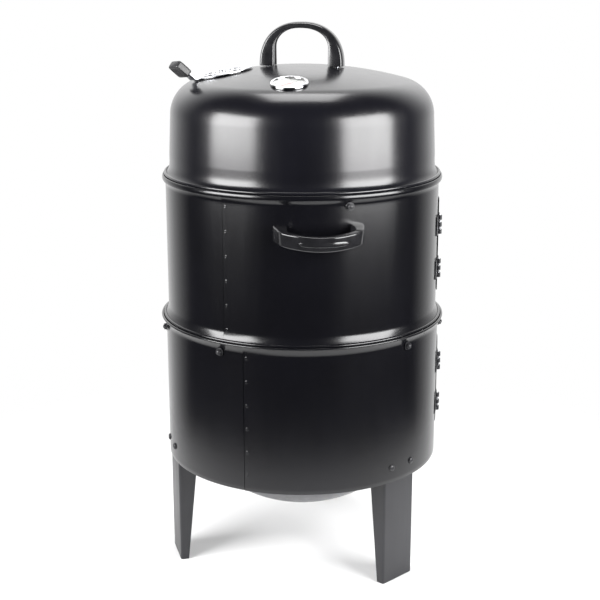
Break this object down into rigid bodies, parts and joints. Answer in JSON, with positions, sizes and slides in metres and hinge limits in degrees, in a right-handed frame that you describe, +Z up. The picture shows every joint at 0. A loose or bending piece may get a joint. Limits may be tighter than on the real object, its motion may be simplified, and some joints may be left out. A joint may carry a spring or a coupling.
{
  "type": "charcoal smoker",
  "caption": "Upright charcoal barrel smoker: stacked steel barrels on legs under a domed lid, with side doors, grates, bowls, damper and dial gauge.",
  "frame": {"origin": "on the ground at the centre of the barrels' common axis", "axes": "+Z up along the barrels' axis, -Y towards the front with the lid gauge, +X towards the doors"},
  "size_m": [0.414, 0.4976, 0.7851],
  "materials": {
    "black_gloss_enamel": "gloss",
    "black_satin_enamel": "satin",
    "black_hardware": "satin",
    "grey_enamel": "satin",
    "chromed_wire": "polished",
    "black_handle_plastic": "gloss",
    "zinc_plated_steel": "satin",
    "polished_steel": "polished",
    "dial_white": "matte",
    "clear_glass": "gloss",
    "needle_red": "satin"
  },
  "bodies": {
    "lower_section": {"lower_barrel": "black_satin_enamel", "leg_right": "black_hardware", "leg_left": "black_hardware", "leg_rear": "black_hardware", "leg_bolts": "black_hardware", "leg_nuts": "black_hardware", "water_bowl_brackets": "zinc_plated_steel", "lower_grate_brackets": "zinc_plated_steel", "lower_bracket_bolts": "black_hardware", "lower_bracket_nuts": "black_hardware", "lower_hinge_leaves": "black_hardware", "lower_hinge_pins": "zinc_plated_steel"},
    "charcoal_bowl_body": {"charcoal_bowl": "grey_enamel"},
    "charcoal_grate_body": {"charcoal_grate": "chromed_wire"},
    "water_bowl_body": {"water_bowl": "grey_enamel"},
    "lower_grate_body": {"lower_grate": "chromed_wire"},
    "lower_door_body": {"lower_door": "black_satin_enamel", "lower_door_leaves": "black_hardware"},
    "lower_latch": {"lower_latch_knob": "black_handle_plastic", "lower_latch_tongue": "zinc_plated_steel"},
    "upper_section": {"upper_barrel": "black_satin_enamel", "front_handle": "black_handle_plastic", "rear_handle": "black_handle_plastic", "side_handle_screws": "zinc_plated_steel", "top_grate_brackets": "zinc_plated_steel", "top_bracket_bolts": "black_hardware", "top_bracket_nuts": "black_hardware", "upper_hinge_leaves": "black_hardware", "upper_hinge_pins": "zinc_plated_steel"},
    "upper_door_body": {"upper_door": "black_satin_enamel", "upper_door_leaves": "black_hardware"},
    "upper_latch": {"upper_latch_knob": "black_handle_plastic", "upper_latch_tongue": "zinc_plated_steel"},
    "top_grate_body": {"top_grate": "chromed_wire"},
    "lid": {"lid_shell": "black_gloss_enamel", "lid_handle": "black_handle_plastic", "lid_handle_screws": "zinc_plated_steel", "damper_screw": "zinc_plated_steel", "damper_nut": "zinc_plated_steel", "gauge_case": "polished_steel", "gauge_bezel": "polished_steel", "gauge_dial": "dial_white", "gauge_lens": "clear_glass", "gauge_stem": "zinc_plated_steel", "gauge_nut": "zinc_plated_steel"},
    "damper": {"damper_disc": "zinc_plated_steel", "damper_grip": "black_handle_plastic"},
    "gauge_needle_body": {"gauge_needle": "needle_red"}
  },
  "joints": [
    {"name": "charcoal_bowl_lift", "type": "slide", "parent": "lower_section", "child": "charcoal_bowl_body", "axis": [0, 0, 1], "range_m": [0, 0.05]},
    {"name": "charcoal_grate_lift", "type": "slide", "parent": "charcoal_bowl_body", "child": "charcoal_grate_body", "axis": [0, 0, 1], "range_m": [0, 0.05]},
    {"name": "water_bowl_lift", "type": "slide", "parent": "lower_section", "child": "water_bowl_body", "axis": [0, 0, 1], "range_m": [0, 0.028]},
    {"name": "lower_grate_lift", "type": "slide", "parent": "lower_section", "child": "lower_grate_body", "axis": [0, 0, 1], "range_m": [0, 0.15]},
    {"name": "upper_section_lift", "type": "slide", "parent": "lower_section", "child": "upper_section", "axis": [0, 0, 1], "range_m": [0, 0.25]},
    {"name": "top_grate_lift", "type": "slide", "parent": "upper_section", "child": "top_grate_body", "axis": [0, 0, 1], "range_m": [0, 0.03]},
    {"name": "lid_lift", "type": "slide", "parent": "upper_section", "child": "lid", "axis": [0, 0, 1], "range_m": [0, 0.2]},
    {"name": "lower_door_swing", "type": "hinge", "parent": "lower_section", "child": "lower_door_body", "pos_m": [0.2028, -0.01418, 0.2605], "axis": [0, 0, -1], "range_deg": [0, 110]},
    {"name": "upper_door_swing", "type": "hinge", "parent": "upper_section", "child": "upper_door_body", "pos_m": [0.19786, -0.02781, 0.4695], "axis": [0, 0, -1], "range_deg": [0, 110]},
    {"name": "lower_latch_turn", "type": "hinge", "parent": "lower_door_body", "child": "lower_latch", "pos_m": [0.14294, 0.14046, 0.2605], "axis": [0.7133, 0.7009, 0], "range_deg": [0, 90]},
    {"name": "upper_latch_turn", "type": "hinge", "parent": "upper_door_body", "child": "upper_latch", "pos_m": [0.14972, 0.12788, 0.4695], "axis": [0.7604, 0.6494, 0], "range_deg": [0, 90]},
    {"name": "damper_turn", "type": "hinge", "parent": "lid", "child": "damper", "pos_m": [-0.11193, -0.00391, 0.71421], "axis": [-0.1926, -0.0067, 0.9813], "range_deg": [-45, 0]},
    {"name": "gauge_needle_turn", "type": "hinge", "parent": "lid", "child": "gauge_needle_body", "pos_m": [-0.01671, -0.1269, 0.71083], "axis": [0.0287, 0.2183, -0.9755], "range_deg": [0, 270]}
  ]
}
